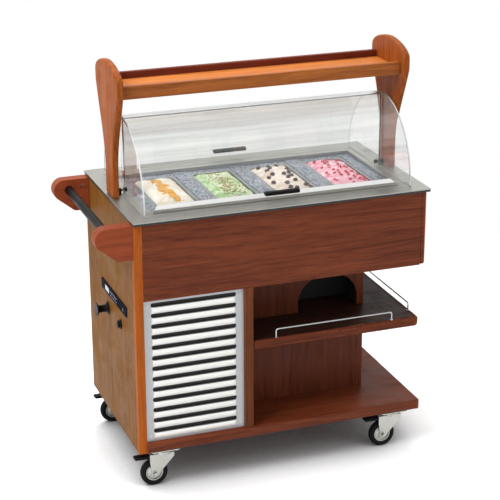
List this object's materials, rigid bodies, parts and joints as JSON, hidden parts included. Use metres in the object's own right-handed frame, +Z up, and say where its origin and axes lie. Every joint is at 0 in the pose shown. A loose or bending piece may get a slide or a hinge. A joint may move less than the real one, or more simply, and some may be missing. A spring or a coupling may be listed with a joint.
{
  "type": "ice cream serving cart",
  "caption": "Wooden ice cream cart on swivel casters with a refrigerated well of pans, a clear roll-top canopy, a cup tray on two shaped posts, a push handle and open storage bays.",
  "frame": {"origin": "centre of the whole cart's footprint, push handle included, at floor level", "axes": "+Z up, +X along the front towards the open storage end, +Y from the front to the rear; the push handle is at -X"},
  "size_m": [1.23, 0.65, 1.495],
  "materials": {
    "side_wood": "satin varnished board with vertical grain and an orange front edge",
    "cabinet_wood": "satin varnished reddish brown, grain along the board",
    "bay_wood": "satin varnished, vertical grain",
    "post_wood": "satin varnished golden brown",
    "bracket_wood": "satin painted terracotta brown",
    "recess_black": "matt black",
    "grille_silver": "satin light silver paint",
    "worktop_steel": "brushed",
    "well_steel": "satin",
    "board_black": "matt black edge",
    "foam": "rigid foam",
    "copper": "bare copper pipe",
    "cold_plate": "blue-grey, fine texture",
    "strip_white": "white, glossy",
    "zinc": "bright zinc plated",
    "bolt_steel": "zinc plated",
    "black_plastic": "satin black",
    "control_black": "glossy black with a light window",
    "button_green": "green, glossy",
    "chrome_wire": "polished",
    "compressor_black": "gloss black paint",
    "fins": "bare",
    "fan_grey": "grey paint",
    "clear": "clear acrylic, polished",
    "pan_steel": "satin",
    "cream_vanilla": "ice cream, soft and matt",
    "cream_pistachio": "ice cream, soft and matt",
    "cream_cherry": "ice cream, soft and matt",
    "cream_berry": "ice cream, soft and matt",
    "wheel_rubber": "black rubber tread on a zinc plated hub"
  },
  "bodies": {
    "cart": {"side_panel": "side_wood", "divider_panel": "cabinet_wood", "base_board": "cabinet_wood", "mid_shelf": "cabinet_wood", "apron_front": "cabinet_wood", "apron_right": "cabinet_wood", "apron_rear": "cabinet_wood", "rear_panels": "cabinet_wood", "bay_side_panel": "cabinet_wood", "bay_back_panel": "bay_wood", "recess_liner": "recess_black", "grille": "grille_silver", "worktop": "worktop_steel", "worktop_board": "board_black", "well_liner": "well_steel", "well_insulation": "foam", "refrigerant_circuit": "copper", "pan_frame": "cold_plate", "label_strip": "strip_white", "posts": "post_wood", "tray_board": "post_wood", "tray_rails": "post_wood", "canopy_pivots": "zinc", "handle_brackets": "bracket_wood", "handle_bar": "black_plastic", "control_panel": "control_black", "cord_cleat": "black_plastic", "cable_gland": "black_plastic", "gallery_rails": "chrome_wire", "caster_plates": "zinc", "fasteners": "bolt_steel", "compressor": "compressor_black", "condenser": "fins", "fan_motor": "fan_grey"},
    "fan_rotor": {"fan_rotor": "fan_grey"},
    "power_button": {"power_button": "button_green"},
    "front_lid": {"front_lid": "clear", "front_lid_handle": "black_plastic"},
    "rear_lid": {"rear_lid": "clear", "rear_lid_handle": "black_plastic"},
    "pan_1": {"pan_1": "pan_steel", "ice_cream_1": "cream_vanilla"},
    "pan_2": {"pan_2": "pan_steel", "ice_cream_2": "cream_pistachio"},
    "pan_3": {"pan_3": "pan_steel", "ice_cream_3": "cream_cherry"},
    "pan_4": {"pan_4": "pan_steel", "ice_cream_4": "cream_berry"},
    "fork_fl": {"fork_fl": "zinc"},
    "wheel_fl": {"wheel_fl": "wheel_rubber"},
    "pedal_fl": {"pedal_fl": "black_plastic"},
    "fork_fr": {"fork_fr": "zinc"},
    "wheel_fr": {"wheel_fr": "wheel_rubber"},
    "pedal_fr": {"pedal_fr": "black_plastic"},
    "fork_rl": {"fork_rl": "zinc"},
    "wheel_rl": {"wheel_rl": "wheel_rubber"},
    "pedal_rl": {"pedal_rl": "black_plastic"},
    "fork_rr": {"fork_rr": "zinc"},
    "wheel_rr": {"wheel_rr": "wheel_rubber"},
    "pedal_rr": {"pedal_rr": "black_plastic"}
  },
  "joints": [
    {"name": "front_lid_hinge", "type": "hinge", "parent": "cart", "child": "front_lid", "pos_m": [0.065, 0, 1.025], "axis": [-1, 0, 0], "range_deg": [0, 80]},
    {"name": "rear_lid_hinge", "type": "hinge", "parent": "cart", "child": "rear_lid", "pos_m": [0.065, 0, 1.025], "axis": [-1, 0, 0], "range_deg": [-80, 0]},
    {"name": "pan_1_lift", "type": "slide", "parent": "cart", "child": "pan_1", "axis": [0, 0, 1], "range_m": [0, 0.165]},
    {"name": "pan_2_lift", "type": "slide", "parent": "cart", "child": "pan_2", "axis": [0, 0, 1], "range_m": [0, 0.165]},
    {"name": "pan_3_lift", "type": "slide", "parent": "cart", "child": "pan_3", "axis": [0, 0, 1], "range_m": [0, 0.165]},
    {"name": "pan_4_lift", "type": "slide", "parent": "cart", "child": "pan_4", "axis": [0, 0, 1], "range_m": [0, 0.165]},
    {"name": "caster_fl_swivel", "type": "hinge", "parent": "cart", "child": "fork_fl", "pos_m": [-0.385, -0.274, 0.126], "axis": [0, 0, 1], "continuous": true},
    {"name": "wheel_fl_spin", "type": "hinge", "parent": "fork_fl", "child": "wheel_fl", "pos_m": [-0.421, -0.274, 0.05], "axis": [0, 1, 0], "continuous": true},
    {"name": "pedal_fl_press", "type": "hinge", "parent": "fork_fl", "child": "pedal_fl", "pos_m": [-0.431, -0.274, 0.113], "axis": [0, -1, 0], "range_deg": [0, 12]},
    {"name": "caster_fr_swivel", "type": "hinge", "parent": "cart", "child": "fork_fr", "pos_m": [0.504, -0.274, 0.126], "axis": [0, 0, 1], "continuous": true},
    {"name": "wheel_fr_spin", "type": "hinge", "parent": "fork_fr", "child": "wheel_fr", "pos_m": [0.468, -0.274, 0.05], "axis": [0, 1, 0], "continuous": true},
    {"name": "pedal_fr_press", "type": "hinge", "parent": "fork_fr", "child": "pedal_fr", "pos_m": [0.458, -0.274, 0.113], "axis": [0, -1, 0], "range_deg": [0, 12]},
    {"name": "caster_rl_swivel", "type": "hinge", "parent": "cart", "child": "fork_rl", "pos_m": [-0.385, 0.274, 0.126], "axis": [0, 0, 1], "continuous": true},
    {"name": "wheel_rl_spin", "type": "hinge", "parent": "fork_rl", "child": "wheel_rl", "pos_m": [-0.421, 0.274, 0.05], "axis": [0, 1, 0], "continuous": true},
    {"name": "pedal_rl_press", "type": "hinge", "parent": "fork_rl", "child": "pedal_rl", "pos_m": [-0.431, 0.274, 0.113], "axis": [0, -1, 0], "range_deg": [0, 12]},
    {"name": "caster_rr_swivel", "type": "hinge", "parent": "cart", "child": "fork_rr", "pos_m": [0.504, 0.274, 0.126], "axis": [0, 0, 1], "continuous": true},
    {"name": "wheel_rr_spin", "type": "hinge", "parent": "fork_rr", "child": "wheel_rr", "pos_m": [0.468, 0.274, 0.05], "axis": [0, 1, 0], "continuous": true},
    {"name": "pedal_rr_press", "type": "hinge", "parent": "fork_rr", "child": "pedal_rr", "pos_m": [0.458, 0.274, 0.113], "axis": [0, -1, 0], "range_deg": [0, 12]},
    {"name": "fan_spin", "type": "hinge", "parent": "cart", "child": "fan_rotor", "pos_m": [-0.2695, -0.21, 0.325], "axis": [0, 1, 0], "continuous": true},
    {"name": "power_button_press", "type": "slide", "parent": "cart", "child": "power_button", "axis": [1, 0, 0], "range_m": [0, 0.002], "stiffness_N_per_m": 400, "springref_m": -0.002}
  ]
}
